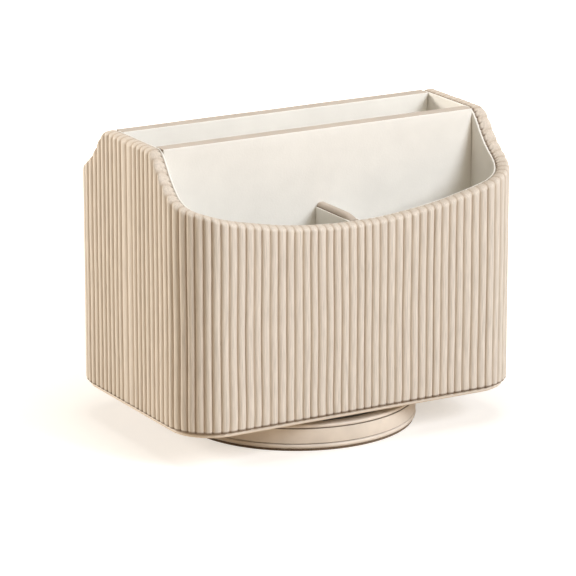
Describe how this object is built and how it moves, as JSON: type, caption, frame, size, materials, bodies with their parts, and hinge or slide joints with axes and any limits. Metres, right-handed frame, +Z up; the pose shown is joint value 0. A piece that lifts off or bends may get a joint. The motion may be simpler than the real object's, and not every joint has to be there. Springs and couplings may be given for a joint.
{
  "type": "rotating remote control holder",
  "caption": "Turning remote control holder: ribbed leather tub with a tall middle slot and low divided compartments at front and rear, on a round ball-bearing base.",
  "frame": {"origin": "centre of the underside of the base, on the table", "axes": "+X along the width, -Y towards the front compartment, +Z up"},
  "size_m": [0.2, 0.135, 0.1615],
  "materials": {
    "ribbed_leather": "pleated leatherette with a soft sheen",
    "edge_leather": "smooth leatherette turned over the edge",
    "smooth_leather": "smooth leatherette",
    "lining": "matt fine grain lining",
    "board": "raw fibre board",
    "bearing_aluminium": "turned",
    "steel": "polished",
    "foot_rubber": "matt foam rubber"
  },
  "bodies": {
    "base": {"base_foot": "foot_rubber", "base_disc": "board", "base_band": "smooth_leather", "base_welt": "smooth_leather", "base_top_roll": "smooth_leather", "base_top_cover": "smooth_leather", "bearing_outer_ring": "bearing_aluminium", "base_screws": "steel"},
    "ball_ring": {"bearing_balls": "steel"},
    "tub": {"bearing_inner_ring": "bearing_aluminium", "bottom_panel": "smooth_leather", "floor_board": "board", "front_cover": "ribbed_leather", "front_divider": "board", "front_divider_edge": "edge_leather", "front_divider_left": "lining", "front_divider_right": "lining", "front_left_pad": "lining", "front_lining": "lining", "front_partition": "board", "front_partition_back": "lining", "front_partition_edge": "edge_leather", "front_partition_face": "lining", "front_right_pad": "lining", "front_wall_board": "board", "left_slot_lining": "lining", "rear_cover": "ribbed_leather", "rear_divider": "board", "rear_divider_edge": "edge_leather", "rear_divider_left": "lining", "rear_divider_right": "lining", "rear_left_pad": "lining", "rear_lining": "lining", "rear_partition": "board", "rear_partition_back": "lining", "rear_partition_edge": "edge_leather", "rear_partition_face": "lining", "rear_right_pad": "lining", "rear_wall_board": "board", "right_slot_lining": "lining", "slot_pad": "lining", "tub_screws": "steel"}
  },
  "joints": [
    {"name": "tub_spin", "type": "hinge", "parent": "base", "child": "tub", "pos_m": [0, 0, 0.014], "axis": [0, 0, 1], "continuous": true},
    {"name": "ball_roll", "type": "hinge", "parent": "base", "child": "ball_ring", "pos_m": [0, 0, 0.014], "axis": [0, 0, 1], "continuous": true}
  ],
  "couplings": [
    {"joint": "ball_roll", "follows": "tub_spin", "ratio": 0.47}
  ]
}
